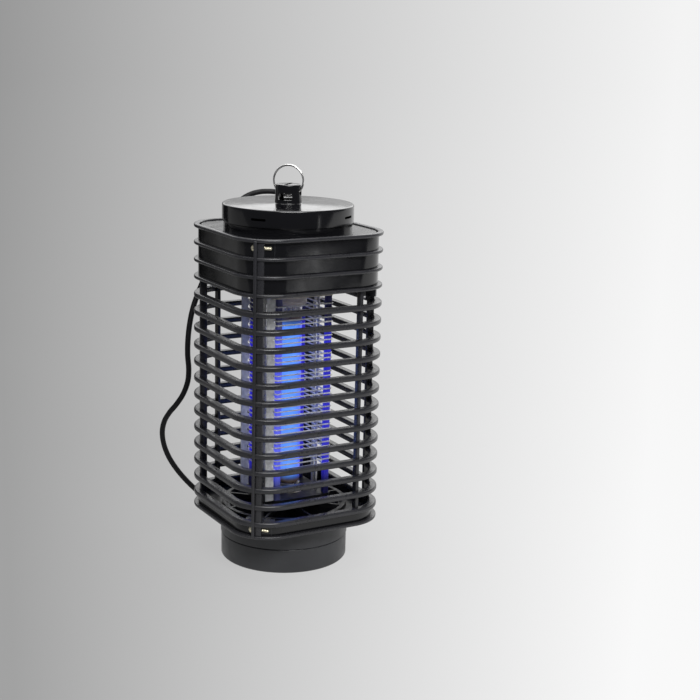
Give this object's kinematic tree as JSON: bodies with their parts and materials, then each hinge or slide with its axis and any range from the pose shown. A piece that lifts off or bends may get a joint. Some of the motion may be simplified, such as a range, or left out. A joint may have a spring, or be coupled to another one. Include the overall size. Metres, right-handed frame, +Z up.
{
  "type": "electric bug zapper",
  "caption": "Lantern-type electric insect killer: ringed black cage round an ultraviolet tube and a high-voltage wire grid, with a twist-off tray, hanging ring and mains lead.",
  "frame": {"origin": "centre of the tray's underside, on the surface that the zapper stands on", "axes": "+Z up; -Y is one face of the square cage, the cage's halves meet at the corners at -X -Y and +X +Y, and the lead leaves the cap towards +X +Y"},
  "size_m": [0.1451, 0.1765, 0.2785],
  "materials": {
    "black_gloss": "glossy black moulded ABS",
    "tray_plastic": "satin dark grey moulded plastic",
    "inner_plastic": "dull black heat-resistant plastic",
    "ivory_plastic": "off-white phenolic plastic",
    "post_plastic": "dark insulating posts lit blue by the lamp",
    "brass_plate": "yellow-passivated screws",
    "screw_steel": "zinc-plated steel",
    "ring_chrome": "bright nickel plating",
    "grid_wire": "galvanised steel wire",
    "strip_zinc": "pale galvanised strip",
    "tube_end": "pressed aluminium",
    "board_laminate": "green board laminate",
    "capacitor_film": "dipped film",
    "diode_epoxy": "black epoxy",
    "ferrite": "pressed ferrite",
    "uv_glass": "phosphor-coated glass, glowing blue-violet",
    "copper_wire": "lacquered copper",
    "lead_insulation": "silicone insulation",
    "cord_rubber": "black flexible sheath"
  },
  "bodies": {
    "lantern": {"cage_half_left": "black_gloss", "cage_half_right": "black_gloss", "cage_screws": "brass_plate", "top_cap": "black_gloss", "cord_grommet": "cord_rubber", "housing_floor": "inner_plastic", "floor_screws": "screw_steel", "circuit_board": "board_laminate", "board_screws": "screw_steel", "capacitors": "capacitor_film", "diodes": "diode_epoxy", "choke_core": "ferrite", "choke_winding": "copper_wire", "terminal_block": "ivory_plastic", "lead_wires": "lead_insulation", "grid_top_frame": "ivory_plastic", "lamp_socket_top": "ivory_plastic", "uv_tube": "uv_glass", "tube_cap_top": "tube_end", "tube_cap_bottom": "tube_end", "tube_pins": "screw_steel", "lamp_socket_bottom": "ivory_plastic", "grid_bottom_frame": "inner_plastic", "post_near": "post_plastic", "post_right": "post_plastic", "post_far": "post_plastic", "post_left": "post_plastic", "tie_rods": "screw_steel", "live_wires": "grid_wire", "neutral_wires": "grid_wire", "live_bus": "strip_zinc", "neutral_bus": "strip_zinc", "spider_frame": "inner_plastic", "bottom_pan": "tray_plastic", "mains_cord": "cord_rubber", "cord_coil": "cord_rubber", "plug_lead": "cord_rubber", "plug_sleeve": "cord_rubber", "plug_body": "cord_rubber", "plug_pins": "ring_chrome"},
    "hanging_ring": {"hanging_ring": "ring_chrome"},
    "catch_tray": {"catch_tray": "tray_plastic"}
  },
  "joints": [
    {"name": "hanging_ring_swing", "type": "hinge", "parent": "lantern", "child": "hanging_ring", "pos_m": [0, 0, 0.2604], "axis": [0.7071, -0.7071, 0], "range_deg": [-85, 85]},
    {"name": "tray_twist", "type": "hinge", "parent": "lantern", "child": "catch_tray", "pos_m": [0, 0, 0.01], "axis": [0, 0, 1], "range_deg": [0, 30]}
  ]
}
